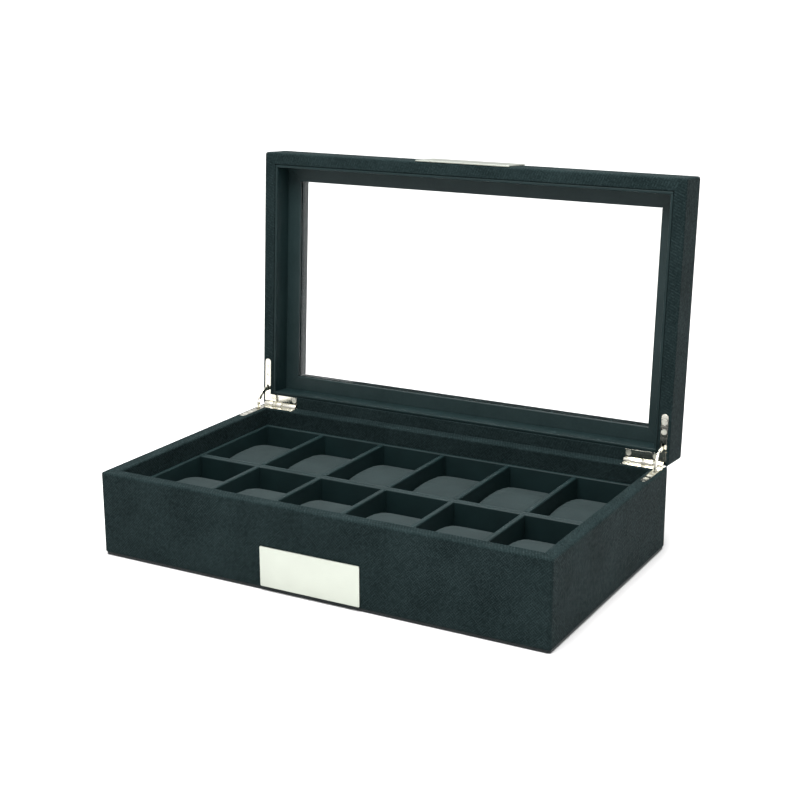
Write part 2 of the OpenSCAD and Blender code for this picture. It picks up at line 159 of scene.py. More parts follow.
def add_wrap_uv(mesh, u, v, quad_count, columns):
    """UV in mm: u along the piece, v round the section. The last column ends at the full way round."""
    layer = mesh.uv_layers.new(name=WRAP_UV)
    r = np.arange(quad_count // columns)[:, None]
    c = np.arange(columns)[None, :]
    rows = u.shape[0]
    corners = []
    for dr, dc in ((0, 0), (0, 1), (1, 1), (1, 0)):
        ri = np.minimum(r + dr, rows - 1)
        corners.append(np.stack([u[ri, (c + dc) % columns], v[ri, c + dc]], -1))
    flat = np.zeros((len(mesh.loops), 2))
    quads = np.stack(corners, 2).reshape(-1, 2) / MM
    flat[: len(quads)] = quads
    layer.data.foreach_set("uv", flat.ravel())


def grid_piece(name, grid, ring=False):
    """A closed solid from a grid of rows (along) by columns (round the section), capped at both ends."""
    rows, columns = grid.shape[:2]
    quads = grid_quads(rows, columns, ring)
    faces = quads.tolist()
    if not ring:
        last = (rows - 1) * columns
        faces += [list(range(columns)), [last + i for i in range(columns)]]
    piece = new_piece(name, grid.reshape(-1, 3), faces)
    along = lengths(grid)
    looped = np.concatenate([grid, grid[:, :1]], 1)
    around = lengths(looped.transpose(1, 0, 2)).T
    add_wrap_uv(piece.data, along, around, len(quads), columns)
    tidy_normals(piece.data)
    return piece


# %% [markdown]
# ## A section with rounded corners
# Leatherette pulled over a board can't make a sharp corner. Each corner of a section is replaced by an arc
# that touches both its sides: its centre lies on the corner's bisector, r / sin(half angle) away.

# %% Round the corners of an outline
ARC_STEPS = 6


def fillet(before, corner, after, radius):
    """Points of the arc of that radius which touches both sides of a corner."""
    a = (before - corner) / np.linalg.norm(before - corner)
    b = (after - corner) / np.linalg.norm(after - corner)
    half = math.acos(np.clip(a @ b, -1, 1)) / 2
    middle = (a + b) / np.linalg.norm(a + b)
    centre = corner + middle * radius / math.sin(half)
    start = corner + a * radius / math.tan(half) - centre
    end = corner + b * radius / math.tan(half) - centre
    t = np.linspace(0, 1, ARC_STEPS + 1)[:, None]
    sweep = math.pi - 2 * half
    return centre + (np.sin((1 - t) * sweep) * start + np.sin(t * sweep) * end) / math.sin(sweep)


def rounded_outline(corners, radii):
    """A closed outline whose corners are arcs."""
    p = np.array(corners, float)
    parts = []
    for i in range(len(p)):
        parts.append(fillet(p[i - 1], p[i], p[(i + 1) % len(p)], radii[i]))
    return np.concatenate(parts)


# %% [markdown]
# ## A wrapped side, mitred at both ends
# The four sides of a box meet on 45 degree planes. The section is carried along the side, and near each end
# it follows the box's rounded upright corner. A point that lies d inside the outer face runs on an arc of
# radius R - d, so that all its points share one centre, and inside the corner's radius it turns on a small
# arc of its own. Where two wrapped sides meet, the leatherette is pressed into a fine crease.

# %% Carry a section along one side of a frame
CORNER_RADIUS = 2 * MM
INNER_TURN = 0.4 * MM
CREASE_DEPTH = 0.22 * MM
CREASE_WIDTH = 0.35 * MM
SEAM_FROM = 1.2 * MM  # the crease starts this far inside the outer face
END_STEPS = np.array([0, 0.1, 0.25, 0.45, 0.7, 1.0, 1.4, 1.8, 2.2, 2.6, 3.4, 6.0]) * MM


def outward(section):
    """Unit normals of a closed section, pointing out of it."""
    along = np.roll(section, -1, 0) - np.roll(section, 1, 0)
    normal = np.stack([along[:, 1], -along[:, 0]], -1)
    normal /= np.linalg.norm(normal, axis=1, keepdims=True)
    x, y = section[:, 0], section[:, 1]
    area = np.sum(x * np.roll(y, -1) - np.roll(x, -1) * y)
    return normal if area > 0 else -normal


def side_grid(section, width, depth):
    """The front side of a frame of that outer width and depth. The section holds (inwards, up). A point
    turns through 45 degrees on its arc, and the crease is exp(-(distance from the mitre / width)^2)."""
    seam = section[:, 0] > SEAM_FROM
    l = END_STEPS[:, None]
    crease = CREASE_DEPTH * np.exp(-((l / CREASE_WIDTH) ** 2)) * seam
    shape = section[None] - crease[..., None] * outward(section)[None]
    d = shape[..., 0]
    radius = np.maximum(CORNER_RADIUS - d, INNER_TURN)
    centre = d + radius
    arc = radius * math.pi / 4
    angle = math.pi / 4 + np.minimum(l, arc) / radius
    along = centre - radius * np.cos(angle) + np.maximum(l - arc, 0)
    inward = centre - radius * np.sin(angle)
    end = np.stack([along - width / 2, inward - depth / 2, shape[..., 1]], -1)
    mirrored = end[::-1] * [-1, 1, 1]
    return np.concatenate([end, mirrored])


SIDES = {"front": 0, "right": 1, "back": 2, "left": 3}


def side_of(section, width, depth, side):
    """That side's grid: the front one turned by quarter turns, with width and depth swapped as needed."""
    quarter = SIDES[side]
    across, away = (width, depth) if quarter % 2 == 0 else (depth, width)
    grid = side_grid(section, across, away)
    c, s = [(1, 0), (0, 1), (-1, 0), (0, -1)][quarter]
    x, y = grid[..., 0], grid[..., 1]
    return np.stack([c * x - s * y, s * x + c * y, grid[..., 2]], -1)


# %% [markdown]
# ## Boards with softened edges
# A wrapped board is a box whose edges and corners are rounded. Take points on a cube's six faces, pull each
# back to the inner box, which is smaller by the radius, and push it out again by one radius. Spacing the
# points by the tangent of equal angles gives equal steps round each edge.

# %% Boards, as rounded boxes
def soft_box(name, low, high, radius, steps=3):
    """Rounded box: clamp(q) + r * (q - clamp(q)) / |q - clamp(q)| for points q on the six faces."""
    low, high = np.asarray(low, float), np.asarray(high, float)
    half = (high - low) / 2 - radius
    bend = radius * np.tan(np.linspace(0, math.pi / 4, steps + 1))
    faces = []
    points = []
    size = 2 * len(bend)
    for axis in range(3):
        a, b = (axis + 1) % 3, (axis + 2) % 3
        sa = np.concatenate([-(half[a] + bend)[::-1], half[a] + bend])
        sb = np.concatenate([-(half[b] + bend)[::-1], half[b] + bend])
        for sign in (-1, 1):
            q = np.empty((size, size, 3))
            q[..., a] = sa[:, None]
            q[..., b] = sb[None, :]
            q[..., axis] = sign * (half[axis] + radius)
            inner = np.clip(q, -half, half)
            out = q - inner
            out /= np.linalg.norm(out, axis=-1, keepdims=True)
            start = len(points) * size * size
            r = np.arange(size - 1)[:, None] * size
            c = np.arange(size - 1)[None, :]
            quad = np.stack([r + c, r + c + 1, r + c + size + 1, r + c + size], -1).reshape(-1, 4)
            faces += (quad + start).tolist()
            points.append((inner + radius * out).reshape(-1, 3))
    piece = new_piece(name, np.concatenate(points) + (low + high) / 2, faces)
    work = bmesh.new()
    work.from_mesh(piece.data)
    bmesh.ops.remove_doubles(work, verts=work.verts, dist=1e-6)
    work.to_mesh(piece.data)
    work.free()
    tidy_normals(piece.data)
    return piece


# %% [markdown]
# ## Plates with an eased edge
# A stamped plate has round corners and a fine bevel. It is a stack of rounded rectangles: as the stack
# climbs round the edge, each ring is set in a little more, and the last one is closed with a flat face.

# %% Plates, as stacked rounded rectangles
EDGE_RINGS = 5
CORNER_SHRINK = 0.8  # how much of a ring's inset its corner radius loses


def rounded_rectangle(width, height, radius):
    """Outline of a rectangle about the origin, with arcs at its corners."""
    w, h = width / 2, height / 2
    return rounded_outline([[-w, -h], [w, -h], [w, h], [-w, h]], [radius] * 4)


def slab_grid(width, height, thickness, corner, edge):
    """Rings of one plate, lying flat. With a from 0 to 90 degrees, the top rings are set in by
    e (1 - cos a) at a height of t - e (1 - sin a), and the bottom rings are the same, upside down."""
    a = np.linspace(0, math.pi / 2, EDGE_RINGS)
    inset = np.concatenate([edge * (1 - np.cos(a[::-1])), edge * (1 - np.cos(a))])
    rise = np.concatenate([edge * (1 - np.sin(a[::-1])), thickness - edge * (1 - np.sin(a))])
    rings = []
    for i, z in zip(inset, rise):
        ring = rounded_rectangle(width - 2 * i, height - 2 * i, corner - CORNER_SHRINK * i)
        rings.append(np.column_stack([ring, np.full(len(ring), z)]))
    return np.array(rings)


# %% [markdown]
# ## Letting things in
# A hinge leaf is let into the wood: the maker routs a recess for it. The same is done here. Each recess is a
# closed block, and it is taken away from the wrapped side with a Boolean, which is applied straight away.

# %% Cutting
def block(low, high):
    """A plain cutting block. It is used up by cut_away."""
    grid = np.array(np.meshgrid(*[[low[i], high[i]] for i in range(3)], indexing="ij")).reshape(3, -1).T
    faces = [[0, 1, 3, 2], [4, 6, 7, 5], [0, 4, 5, 1], [2, 3, 7, 6], [0, 2, 6, 4], [1, 5, 7, 3]]
    return grid, faces


def prism(outline, z0, z1):
    """The outline in x and y, raised from z0 to z1."""
    n = len(outline)
    points = np.concatenate([np.column_stack([outline, np.full(n, z)]) for z in (z0, z1)])
    i = np.arange(n)
    sides = np.stack([i, (i + 1) % n, (i + 1) % n + n, i + n], -1).tolist()
    return points, sides + [list(range(n)), list(range(n, 2 * n))]


def x_cylinder(x0, x1, centre, radius, count=48):
    """A round bar along X about centre (y, z)."""
    a = np.linspace(0, 2 * math.pi, count, endpoint=False)
    y = centre[0] + radius * np.cos(a)
    z = centre[1] + radius * np.sin(a)
    rings = [np.column_stack([np.full(count, x), y, z]) for x in (x0, x1)]
    i = np.arange(count)
    sides = np.stack([i, (i + 1) % count, (i + 1) % count + count, i + count], -1).tolist()
    return np.concatenate(rings), sides + [list(range(count)), list(range(count, 2 * count))]


def cut_away(piece, cutters):
    """Takes each closed block away from the piece and keeps the result as its mesh."""
    tools = []
    for i, (points, faces) in enumerate(cutters):
        tool = new_piece(f"{piece.name}_cutter_{i}", points, faces)
        tidy_normals(tool.data)
        change = piece.modifiers.new(f"cut_{i}", "BOOLEAN")
        change.object = tool
        change.operation = "DIFFERENCE"
        change.solver = "EXACT"
        tools.append(tool)
    graph = bpy.context.evaluated_depsgraph_get()
    result = bpy.data.meshes.new_from_object(piece.evaluated_get(graph))
    piece.modifiers.clear()
    piece.data = result
    for tool in tools:
        bpy.data.objects.remove(tool)
    result.set_sharp_from_angle(angle=SHARP_ANGLE)


# %% [markdown]
# ## Materials: small helpers
# Every finish is a node tree. The pattern comes from the piece's own wrap, in millimetres, or from its
# Object coordinates, so it stays on the piece when the lid turns. Numbers that are the same all over are
# set on the shader itself.

# %% Node helpers
def new_finish(name, **constants):
    """A material with one Principled shader, whose constant inputs are set by name."""
    material = bpy.data.materials.new(name)
    material.use_nodes = True
    shader = material.node_tree.nodes["Principled BSDF"]
    for key, value in constants.items():
        shader.inputs[key.replace("_", " ")].default_value = value
    return material, shader


def add(material, kind, **settings):
    """A new node. Settings with a capital are inputs, and the others are the node's own properties."""
    node = material.node_tree.nodes.new("ShaderNode" + kind)
    for key, value in settings.items():
        if key[0].isupper():
            node.inputs[key.replace("_", " ")].default_value = value
        else:
            setattr(node, key, value)
    return node


def link(material, source, target):
    """Joins two sockets."""
    material.node_tree.links.new(source, target)


def mapped(material, source, scale, turn=0.0):
    """The coordinates scaled, then turned about Z."""
    node = add(material, "Mapping")
    node.inputs["Scale"].default_value = scale
    node.inputs["Rotation"].default_value = (0, 0, turn)
    link(material, source, node.inputs["Vector"])
    return node.outputs["Vector"]


def noise(material, vector, scale, detail=2.0, roughness=0.5):
    """Smooth random values from 0 to 1."""
    node = add(material, "TexNoise", Scale=scale, Detail=detail, Roughness=roughness)
    link(material, vector, node.inputs["Vector"])
    return node.outputs["Fac"]


def spread(material, value, from_low, from_high, to_low, to_high):
    """Maps a range of values onto another, and clamps it."""
    node = add(material, "MapRange", From_Min=from_low, From_Max=from_high, To_Min=to_low, To_Max=to_high)
    link(material, value, node.inputs["Value"])
    return node.outputs["Result"]


def combine(material, operation, a, b):
    """One Math node of two values, where b may be a number."""
    node = add(material, "Math", operation=operation)
    link(material, a, node.inputs[0])
    if isinstance(b, (int, float)):
        node.inputs[1].default_value = b
    else:
        link(material, b, node.inputs[1])
    return node.outputs["Value"]


def two_colours(material, factor, dark, light):
    """A colour between dark and light."""
    node = add(material, "Mix", data_type="RGBA")
    node.inputs[6].default_value = (*dark, 1)
    node.inputs[7].default_value = (*light, 1)
    link(material, factor, node.inputs["Factor"])
    return node.outputs[2]


def bumped(material, shader, height, distance, strength):
    """Feeds a height, as a share of distance in metres, to the shader's normal."""
    node = add(material, "Bump", Strength=strength, Distance=distance)
    link(material, height, node.inputs["Height"])
    link(material, node.outputs["Normal"], shader.inputs["Normal"])


def wrap_mm(material):
    """The piece's own wrap, in millimetres."""
    return add(material, "UVMap", uv_map=WRAP_UV).outputs["UV"]


def object_mm(material):
    """Object coordinates, in millimetres."""
    coordinates = add(material, "TexCoord").outputs["Object"]
    return mapped(material, coordinates, (1 / MM,) * 3)


# %% [markdown]
# ## Cross-grained leatherette
# This grain is pressed in by a hot roller: short, fine strokes at plus and minus 45 degrees. Two wave
# patterns are laid crosswise, and each is broken into strokes by noise that is stretched along it. The
# higher of the two is the surface. The crests are painted lighter, a painted highlight, and are smoother
# than the valleys; a slow mottling of the leatherette's own tone keeps large faces from looking printed.

# %% Leatherette
GRAIN_SPACING = 1.45  # mm between strokes
BAND_PERIOD = 2 * math.pi / 20  # what one band of a wave texture measures at scale 1


def strokes(material, coordinates, turn):
    """Broken diagonal strokes: a wave across them, times noise stretched along them."""
    vector = mapped(material, coordinates, (1, 1, 1), turn)
    wave = add(material, "TexWave", Scale=BAND_PERIOD / GRAIN_SPACING, Distortion=1.6, Detail=2.0)
    wave.inputs["Detail Scale"].default_value = 1.4
    link(material, vector, wave.inputs["Vector"])
    broken = noise(material, mapped(material, vector, (0.9, 0.28, 1)), 1.0, 1.0)
    return combine(material, "MULTIPLY", wave.outputs["Fac"], spread(material, broken, 0.38, 0.62, 0.15, 1.0))


def leatherette(name, dark, light, rough, depth):
    """Pressed cross-grain in two close shades."""
    material, shader = new_finish(name, Metallic=0.0, Specular_IOR_Level=0.06)
    uv = wrap_mm(material)
    rising = strokes(material, uv, math.pi / 4)
    falling = strokes(material, uv, -math.pi / 4)
    height = combine(material, "MAXIMUM", rising, falling)
    mottle = noise(material, uv, 0.035, 3.0)
    # The crests (height) are painted lighter: a painted highlight on the grain. The mottle is the
    # leatherette's own tone.
    tone = combine(material, "ADD", combine(material, "MULTIPLY", height, 0.75),
                   spread(material, mottle, 0.35, 0.65, 0.0, 0.25))
    link(material, two_colours(material, tone, dark, light), shader.inputs["Base Color"])
    link(material, spread(material, height, 0.0, 1.0, rough + 0.12, rough - 0.08), shader.inputs["Roughness"])
    bumped(material, shader, height, depth, 1.0)
    return material


WRAP_DARK = (0.0024, 0.0070, 0.0074)
WRAP_LIGHT = (0.0170, 0.0300, 0.0312)
wrap = leatherette("cross_grain_leatherette", WRAP_DARK, WRAP_LIGHT, 0.74, 0.30 * MM)
print("finish:", wrap.name)


# %% [markdown]
# ## Lining, cushion cloth and felt
# The lining is a thin, smooth leatherette without grain. The cushions wear the same family of cloth, softer
# and a shade lighter, with a suede-like nap: sheen gives the pale edge that a nap shows against the light.
# Felt has no weave, only tangled fibres, which fine noise with a deep bump suggests.

# %% Soft finishes
def matt_cloth(name, dark, light, rough, grain, depth, sheen=0.0):
    """Fine irregular grain over a slow mottling, on Object coordinates."""
    material, shader = new_finish(name, Metallic=0.0, Specular_IOR_Level=0.22, Sheen_Weight=sheen,
                                  Sheen_Roughness=0.5)
    place = object_mm(material)
    fine = noise(material, place, grain, 4.0, 0.6)
    slow = noise(material, place, 0.06, 2.0)
    half_fine = combine(material, "MULTIPLY", fine, 0.5)
    half_slow = combine(material, "MULTIPLY", slow, 0.5)
    tone = combine(material, "ADD", half_fine, half_slow)
    link(material, two_colours(material, spread(material, tone, 0.3, 0.7, 0, 1), dark, light),
         shader.inputs["Base Color"])
    link(material, spread(material, fine, 0.3, 0.7, rough - 0.06, rough + 0.08), shader.inputs["Roughness"])
    bumped(material, shader, fine, depth, 0.5)
    return material


lining = matt_cloth("smooth_lining", (0.0026, 0.0100, 0.0106), (0.0058, 0.0185, 0.0194), 0.55, 1.7, 0.04 * MM)
CUSHION_DARK = (0.0068, 0.0150, 0.0155)
CUSHION_LIGHT = (0.0118, 0.0232, 0.0240)
cushion_cloth = matt_cloth("cushion_nap", CUSHION_DARK, CUSHION_LIGHT, 0.78, 2.4, 0.05 * MM, 0.03)
felt = matt_cloth("felt", (0.006, 0.009, 0.010), (0.022, 0.027, 0.028), 0.95, 1.1, 0.30 * MM, 0.3)
# The panel is a brighter copy of the lining: its lighter colour is painted sheen, and its lower roughness is
# real smoothness.
panel = matt_cloth("smooth_panel", (0.009, 0.0195, 0.0202), (0.015, 0.029, 0.030), 0.42, 0.6, 0.03 * MM)
board = matt_cloth("fibreboard", (0.20, 0.14, 0.085), (0.34, 0.25, 0.16), 0.85, 1.4, 0.08 * MM)
print("soft finishes:", [m.name for m in (lining, cushion_cloth, felt, panel, board)])


# %% [markdown]
# ## Metal and glass
# The hinges are polished nickel, a warm grey mirror with faint wiping marks. The plates are brushed along
# their length and then lacquered, which spreads their reflection sideways: noise drawn out thirty to one
# along X does that in both the roughness and the surface. The glass is clear float glass.

# %% Hard finishes
def polished_nickel(name, rough, dark, light):
    """A mirror whose roughness wanders a little, with faint scratches."""
    material, shader = new_finish(name, Metallic=1.0)
    place = object_mm(material)
    wiping = noise(material, place, 0.5, 3.0)
    marks = noise(material, mapped(material, place, (0.4, 6.0, 1.0), 0.5), 1.0, 2.0)
    link(material, spread(material, wiping, 0.3, 0.7, rough, rough + 0.1), shader.inputs["Roughness"])
    link(material, two_colours(material, wiping, dark, light), shader.inputs["Base Color"])
    bumped(material, shader, marks, 0.01 * MM, 0.4)
    return material


def brushed_plate():
    """Brush lines along X over a satin metal."""
    material, shader = new_finish("brushed_plate", Metallic=1.0)
    place = object_mm(material)
    lines = noise(material, mapped(material, place, (0.1, 3.0, 3.0)), 1.0, 3.0)
    cloud = noise(material, place, 0.05, 2.0)
    link(material, spread(material, lines, 0.3, 0.7, 0.30, 0.42), shader.inputs["Roughness"])
    link(material, two_colours(material, cloud, (0.44, 0.46, 0.41), (0.49, 0.52, 0.46)),
         shader.inputs["Base Color"])
    bumped(material, shader, lines, 0.006 * MM, 0.35)
    return material


def clear_glass():
    """Clear glass with a trace of green, and roughness that shows faint wiping."""
    material, shader = new_finish("clear_glass", Metallic=0.0, IOR=1.45, Transmission_Weight=1.0)
    smears = noise(material, object_mm(material), 0.02, 3.0)
    link(material, spread(material, smears, 0.4, 0.8, 0.0, 0.03), shader.inputs["Roughness"])
    link(material, two_colours(material, smears, (0.985, 0.995, 0.99), (1.0, 1.0, 1.0)),
         shader.inputs["Base Color"])
    return material


nickel = polished_nickel("polished_nickel", 0.08, (0.74, 0.72, 0.62), (0.88, 0.86, 0.77))
screw_nickel = polished_nickel("screw_nickel", 0.30, (0.82, 0.81, 0.72), (0.92, 0.91, 0.84))
satin = brushed_plate()
glass = clear_glass()
print("hard finishes:", [m.name for m in (nickel, screw_nickel, satin, glass)])


# %% [markdown]
# ## Finishing a piece
# A finished piece has its material, rides on a body, and hides the CAD nodes it stands for. Weighted
# normals let each large face keep its own flat shading while the rounded edges blend into it.

# %% Finish, ride and replace
def complete(piece, material, body, nodes=()):
    """Material, weighted normals, body, and hides the CAD nodes that it replaces."""
    piece.data.materials.clear()
    piece.data.materials.append(material)
    shading = piece.modifiers.new("even_shading", "WEIGHTED_NORMAL")
    shading.keep_sharp = True
    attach(piece, body)
    if nodes:
        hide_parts(*nodes)
    return piece


def open_with_lid(piece):
    """Turns the piece's mesh from the closed to the open lid."""
    place_points(piece.data, turned(points_of(piece.data), open_angle))
    return piece


# %% [markdown]
# ## The recess for each hinge
# A quadrant hinge is an L: one arm lies along the side wall and one along the back. Its recess is that
# outline with a hair of play, a groove for the barrel, and a pocket in which the curved stay disappears.
# The sizes are read from the leaf in the frame. The lid's recesses are the base's, mirrored in the hinge.

# %% Hinge recesses
LEAF_PLAY = 0.1 * MM
BARREL_GAP = 0.3 * MM
POCKET_HALF = 2.05 * MM
POCKET_PLAY = 0.4 * MM
POCKET_FROM_AXIS = 4 * MM
ARM_STRIP = 8 * MM  # the front strip of a leaf, where only its side arm lies
SAME = 0.01 * MM
PAST = 1 * MM

front_low, front_high = base_box("base_front_wall")
rim_z = front_high[2]
leaf = node_points("base_leaf_right")
leaf_low = leaf.min(0)
leaf_high = leaf.max(0)
arm = leaf[leaf[:, 1] < leaf_low[1] + ARM_STRIP]
arm_low, arm_high = arm[:, 0].min(), arm[:, 0].max()
arm_radius = (arm_high - arm_low) / 2
plate_bottom = arm[:, 2].min()
back_arm = leaf[(leaf[:, 0] < leaf_low[0] + SAME) & (np.abs(leaf[:, 2] - plate_bottom) < SAME)]
back_low = back_arm[:, 1].min()
knuckle_radius = leaf_high[2] - hinge_point[2]
stay = node_points("stay_right")
stay_reach = np.linalg.norm((stay - hinge_point)[:, 1:], axis=1).max() + POCKET_PLAY


def leaf_outline(side):
    """The L with a round end, grown by the play. side is 1 for the right hinge and -1 for the left."""
    p = LEAF_PLAY
    end = leaf_low[1] + arm_radius
    back = PAST - front_low[1]
    middle = (arm_low + arm_high) / 2
    a = np.linspace(0, -math.pi, 17)
    round_end = np.column_stack([middle + (arm_radius + p) * np.cos(a), end + (arm_radius + p) * np.sin(a)])
    rest = [[arm_low - p, back_low - p], [leaf_low[0] - BARREL_GAP, back_low - p],
            [leaf_low[0] - BARREL_GAP, back], [arm_high + p, back]]
    return np.concatenate([round_end, rest]) * [side, 1]


def hinge_recesses(side):
    """Leaf, barrel groove and stay pocket of one hinge, as cutting blocks for the base."""
    middle = side * (arm_low + arm_high) / 2
    ends = sorted([side * (leaf_low[0] - BARREL_GAP), side * (leaf_high[0] + BARREL_GAP)])
    y = hinge_point[1]
    z = hinge_point[2]
    return [
        prism(leaf_outline(side), plate_bottom - LEAF_PLAY, rim_z + PAST),
        x_cylinder(*ends, (y, z), knuckle_radius + BARREL_GAP),
        block((middle - POCKET_HALF, y - stay_reach, z - stay_reach),
              (middle + POCKET_HALF, y - POCKET_FROM_AXIS, rim_z + PAST)),
    ]


def for_lid(cutters):
    """The same blocks mirrored in the hinge's own level."""
    mirrored = []
    for points, faces in cutters:
        q = points.copy()
        q[:, 2] = 2 * hinge_point[2] - q[:, 2]
        mirrored.append((q, faces))
    return mirrored


right_recesses = hinge_recesses(1)
left_recesses = hinge_recesses(-1)
both_recesses = right_recesses + left_recesses
RECESSES = {"front": [], "right": right_recesses, "left": left_recesses, "back": both_recesses}
print("leaf arm in mm:", round((arm_high - arm_low) / MM, 2))
print("knuckle radius in mm:", round(knuckle_radius / MM, 2))


# %% [markdown]
# ## The four walls of the base
# The rim is where the eye rests, so its rounding has to run on round the corners. Each wall is one grid:
# the board's section carried from mitre to mitre.

# %% Base walls
RIM_ROUND = 1.5 * MM
BACK_ROUND = 0.4 * MM
box_width = 2 * base_box("base_right_wall")[1][0]
box_depth = 2 * -front_low[1]
wall_thickness = front_high[1] - front_low[1]
wall_foot = front_low[2]

FOOT_ROUND = 0.8 * MM
INNER_FOOT_ROUND = 0.3 * MM
wall_corners = [[0, wall_foot], [wall_thickness, wall_foot], [wall_thickness, rim_z], [0, rim_z]]
for side in SIDES:
    outer_round = BACK_ROUND if side == "back" else RIM_ROUND
    wall_section = rounded_outline(wall_corners, [FOOT_ROUND, INNER_FOOT_ROUND, RIM_ROUND, outer_round])
    wall = grid_piece(f"wrapped_{side}_wall", side_of(wall_section, box_width, box_depth, side))
    if RECESSES[side]:
        cut_away(wall, RECESSES[side])
    complete(wall, wrap, "box", [f"base_{side}_wall"])
    print(wall.name, len(wall.data.polygons), "faces")


# %% [markdown]
# ## The four rails of the lid
# A rail is an L in section: an upright wall, and a flat lip that frames the glass. Its outer edge is more
# generously rounded than the rim, so the closed box has a soft top.

# %% Lid rails
LID_EDGE_ROUND = 3 * MM
WINDOW_ROUND = 1 * MM
RAIL_INNER_ROUND = 0.75 * MM
CRACK_ROUND = 0.1 * MM
LIP_ROUND = 0.3 * MM
rail_low, rail_high = closed_box("lid_front_rail")
pane_low, pane_high = closed_box("glass_pane")
holder_low, holder_high = closed_box("glass_retainer")
GLASS_PLAY = 0.2 * MM
rail_thickness = pane_low[1] + box_depth / 2 - GLASS_PLAY
border = rail_high[1] - rail_low[1]
lip_under = pane_high[2]

rail_corners = [[0, rail_low[2]], [rail_thickness, rail_low[2]], [rail_thickness, lip_under],
                [border, lip_under], [border, rail_high[2]], [0, rail_high[2]]]
for side in SIDES:
    outer_round = BACK_ROUND if side == "back" else RIM_ROUND
    rail_rounds = [outer_round, RAIL_INNER_ROUND, CRACK_ROUND, LIP_ROUND, WINDOW_ROUND, LID_EDGE_ROUND]
    rail_section = rounded_outline(rail_corners, rail_rounds)
    rail = grid_piece(f"wrapped_lid_{side}_rail", side_of(rail_section, box_width, box_depth, side))
    if RECESSES[side]:
        cut_away(rail, for_lid(RECESSES[side]))
    complete(open_with_lid(rail), wrap, "lid", [f"lid_{side}_rail"])
print("lid border in mm:", round(border / MM, 1))
print("lip above the glass in mm:", round((rail_high[2] - lip_under) / MM, 1))


# %% [markdown]
# ## Linings and dividers
# Thin boards line the walls and part the compartments. Their wrapped tops are rounded, and that rounding is
# what catches the light as a fine pale line. The two boards between the rows stand back to back, so a fine
# groove runs along the top. Where boards cross, each is slotted halfway, as in an egg crate.

# %% Base linings and dividers
LINING_ROUND = 0.9 * MM
COLUMN_ROUND = 1.2 * MM
COLUMNS = 6
LAP_PLAY = 0.1 * MM

for side in SIDES:
    low, high = base_box(f"liner_{side}")
    board_piece = soft_box(f"wrapped_liner_{side}", low, high, LINING_ROUND)
    complete(board_piece, lining, "box", [f"liner_{side}"])

columns_at = [base_box(f"column_divider_{i}") for i in range(1, COLUMNS)]
rows_at = {name: base_box(f"row_divider_{name}") for name in ("front", "back")}
lap_z = (columns_at[0][0][2] + columns_at[0][1][2]) / 2

for name, (low, high) in rows_at.items():
    row_board = soft_box(f"wrapped_row_divider_{name}", low, high, LINING_ROUND)
    slots = [block((c_low[0] - LAP_PLAY, low[1] - PAST, low[2] - PAST),
                   (c_high[0] + LAP_PLAY, high[1] + PAST, lap_z + LAP_PLAY)) for c_low, c_high in columns_at]
    cut_away(row_board, slots)
    complete(row_board, lining, "box", [f"row_divider_{name}"])

row_low = rows_at["front"][0][1] - LAP_PLAY
row_high = rows_at["back"][1][1] + LAP_PLAY
for i, (low, high) in enumerate(columns_at, 1):
    divider = soft_box(f"wrapped_column_divider_{i}", low, high, COLUMN_ROUND)
    cut_away(divider, [block((low[0] - PAST, row_low, lap_z), (high[0] + PAST, row_high, high[2] + PAST))])
    complete(divider, lining, "box", [f"column_divider_{i}"])
print("dividers stand", round((rim_z - columns_at[0][1][2]) / MM, 1), "mm below the rim")

# %% [markdown]
# The lid is lined in the same way, and a flat frame behind the window holds the glass. That frame is one
# ring: four mitred sides joined end to end, with no caps between them.

# %% Lid linings and the frame that holds the glass
LID_LINING_ROUND = 0.6 * MM
for side in SIDES:
    low, high = closed_box(f"lid_liner_{side}")
    lid_board = open_with_lid(soft_box(f"wrapped_lid_liner_{side}", low, high, LID_LINING_ROUND))
    complete(lid_board, lining, "lid", [f"lid_liner_{side}"])

holder_width = holder_high[0] - holder_low[0]
holder_depth = holder_high[1] - holder_low[1]
holder_band = border - rail_thickness - GLASS_PLAY
holder_section = rounded_outline(
    [[0, holder_low[2]], [holder_band, holder_low[2]], [holder_band, holder_high[2]], [0, holder_high[2]]],
    [0.3 * MM, 0.7 * MM, 0.2 * MM, 0.2 * MM],
)
ring = np.concatenate([side_of(holder_section, holder_width, holder_depth, side)[:-1] for side in SIDES])
holder = open_with_lid(grid_piece("wrapped_glass_frame", ring, ring=True))
# The frame wears the lining's brighter copy, whose lighter colour is painted sheen.
complete(holder, panel, "lid", ["glass_retainer"])
print("glass frame:", len(holder.data.polygons), "faces")


# %% [markdown]
# ## The two metal plates
# Each plate is stamped, eased at its edge and brushed lengthwise. One lies flat on the base's front, the
# other on the lid's front edge, one above the other when the box is shut.

# %% Plates
PLATE_CORNER = 0.9 * MM
PLATE_EDGE = 0.3 * MM


def upright_plate(name, low, high):
    """A plate that faces the front: its rings are laid from the wall (high y) out to its face (low y)."""
    grid = slab_grid(high[0] - low[0], high[2] - low[2], high[1] - low[1], PLATE_CORNER, PLATE_EDGE)
    x = grid[..., 0] + (low[0] + high[0]) / 2
    y = high[1] - grid[..., 2]
    z = grid[..., 1] + (low[2] + high[2]) / 2
    return grid_piece(name, np.stack([x, y, z], -1))


complete(upright_plate("brushed_base_plate", *base_box("base_plate")), satin, "box", ["base_plate"])
lid_plate = open_with_lid(upright_plate("brushed_lid_plate", *closed_box("lid_plate")))
complete(lid_plate, satin, "lid", ["lid_plate"])
print("plates:", len(lid_plate.data.polygons), "faces each")


# %% [markdown]
# ## Hinges, screws, glass and what lies below
# These CAD solids already have their true shape. A polished part still needs an eased edge to catch the
# light, so loose triangles are welded, flat faces joined, and the sharp edges bevelled by 0.05 to 0.3 mm.

# %% Parts that keep their CAD shape
WELD_DISTANCE = 0.002 * MM
FLAT_ANGLE = math.radians(0.5)  # faces that meet flatter than this are one face
EDGE_ANGLE = math.radians(35)  # edges sharper than this are eased


